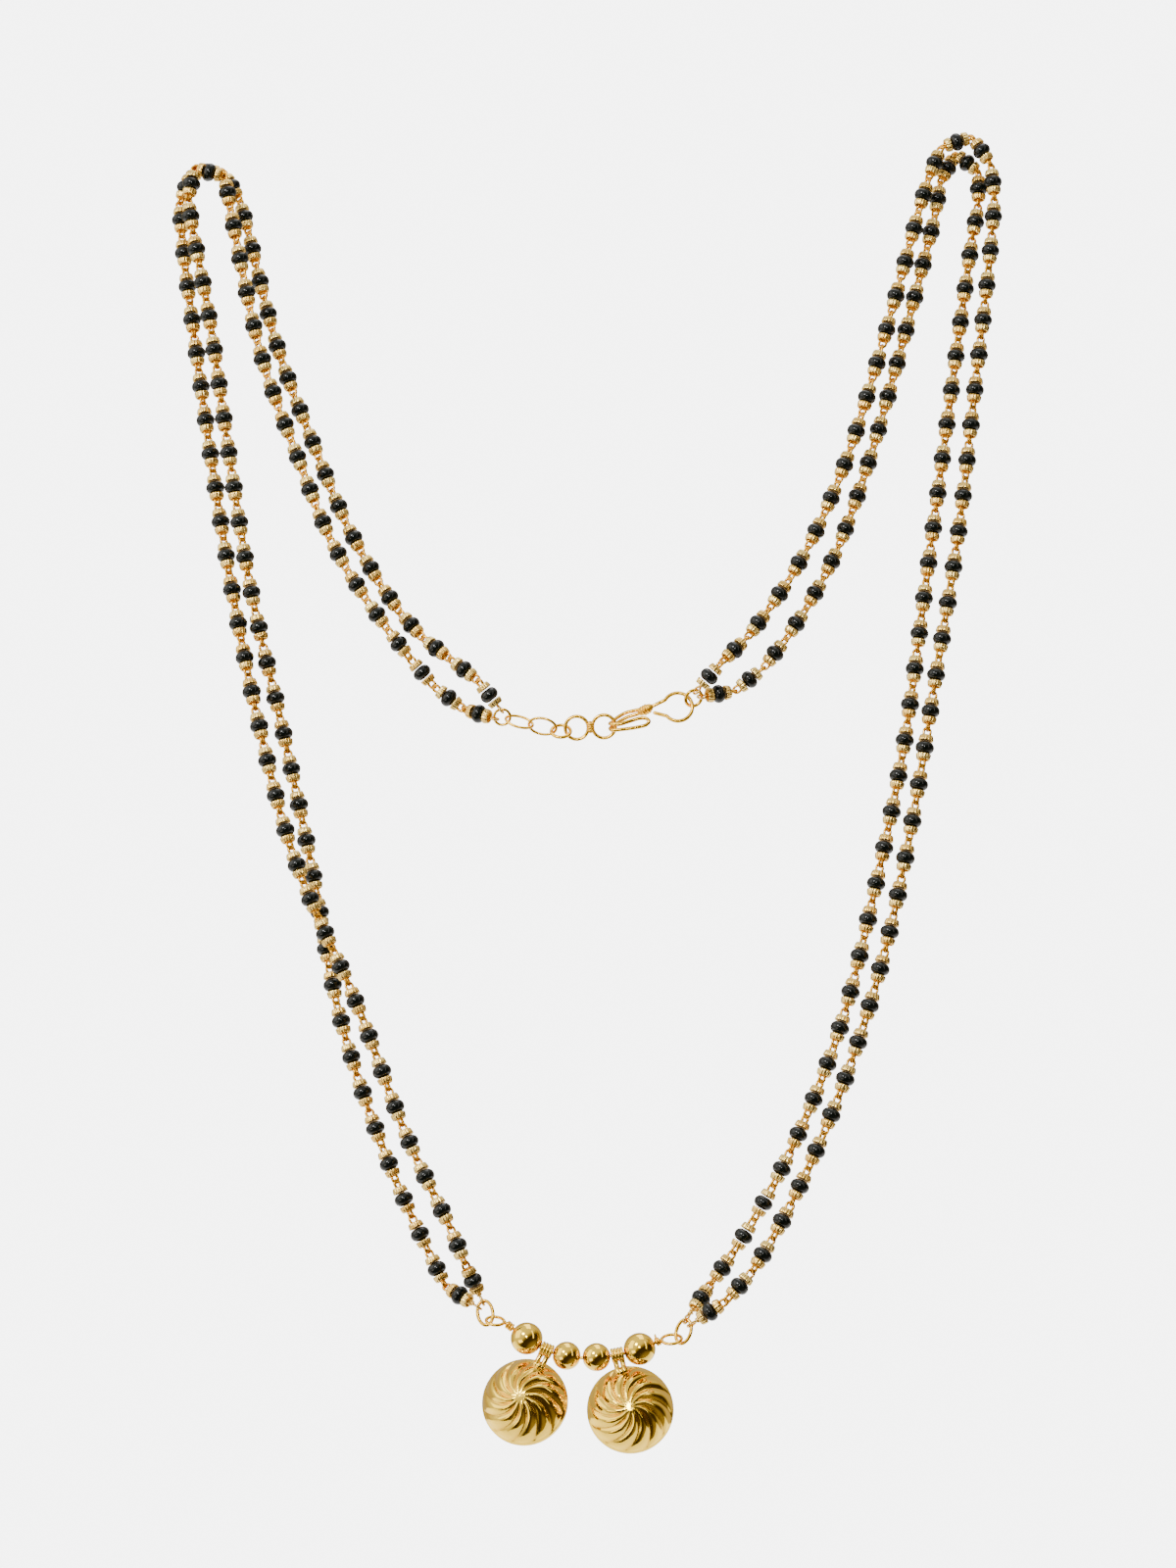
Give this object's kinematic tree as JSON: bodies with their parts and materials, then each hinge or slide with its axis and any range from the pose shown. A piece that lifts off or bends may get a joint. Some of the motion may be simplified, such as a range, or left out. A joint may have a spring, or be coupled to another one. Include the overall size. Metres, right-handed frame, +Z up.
{
  "type": "mangalsutra",
  "caption": "Mangalsutra necklace: strands of black beads with ribbed gold caps, fluted gold cups and gold balls on a sagging wire, hook and eye clasp.",
  "frame": {"origin": "under the strands at the left one of the two points that it hangs from", "axes": "+X towards the right hanging point, +Z up, -Y out of the crowns of the cups, which is the front"},
  "size_m": [0.1348, 0.0079, 0.2124],
  "materials": {
    "gold_tone": "polished brass plated with 22 carat gold",
    "black_glass": "opaque black glass, glossy"
  },
  "bodies": {
    "necklace": {"beads_left_inner": "black_glass", "beads_left_outer": "black_glass", "beads_right_inner": "black_glass", "beads_right_outer": "black_glass", "chain_left_inner": "gold_tone", "chain_left_outer": "gold_tone", "chain_right_inner": "gold_tone", "chain_right_outer": "gold_tone", "pendant_wire": "gold_tone", "gold_ball_1": "gold_tone", "gold_ball_2": "gold_tone", "gold_ball_3": "gold_tone", "gold_ball_4": "gold_tone", "jump_ring_left": "gold_tone", "jump_ring_right": "gold_tone", "clasp_ring": "gold_tone", "clasp_link_1": "gold_tone", "clasp_link_2": "gold_tone", "round_link": "gold_tone", "figure_eight": "gold_tone", "clasp_hook": "gold_tone", "hook_ring": "gold_tone"},
    "cup_left": {"cup_left": "gold_tone"},
    "cup_right": {"cup_right": "gold_tone"}
  },
  "joints": [
    {"name": "cup_left_swing", "type": "hinge", "parent": "necklace", "child": "cup_left", "pos_m": [0.05544, 0, -0.18878], "axis": [0.9205, 0, -0.3907], "range_deg": [-60, 60]},
    {"name": "cup_right_swing", "type": "hinge", "parent": "necklace", "child": "cup_right", "pos_m": [0.06607, 0, -0.18948], "axis": [0.9829, 0, 0.184], "range_deg": [-60, 60]}
  ]
}
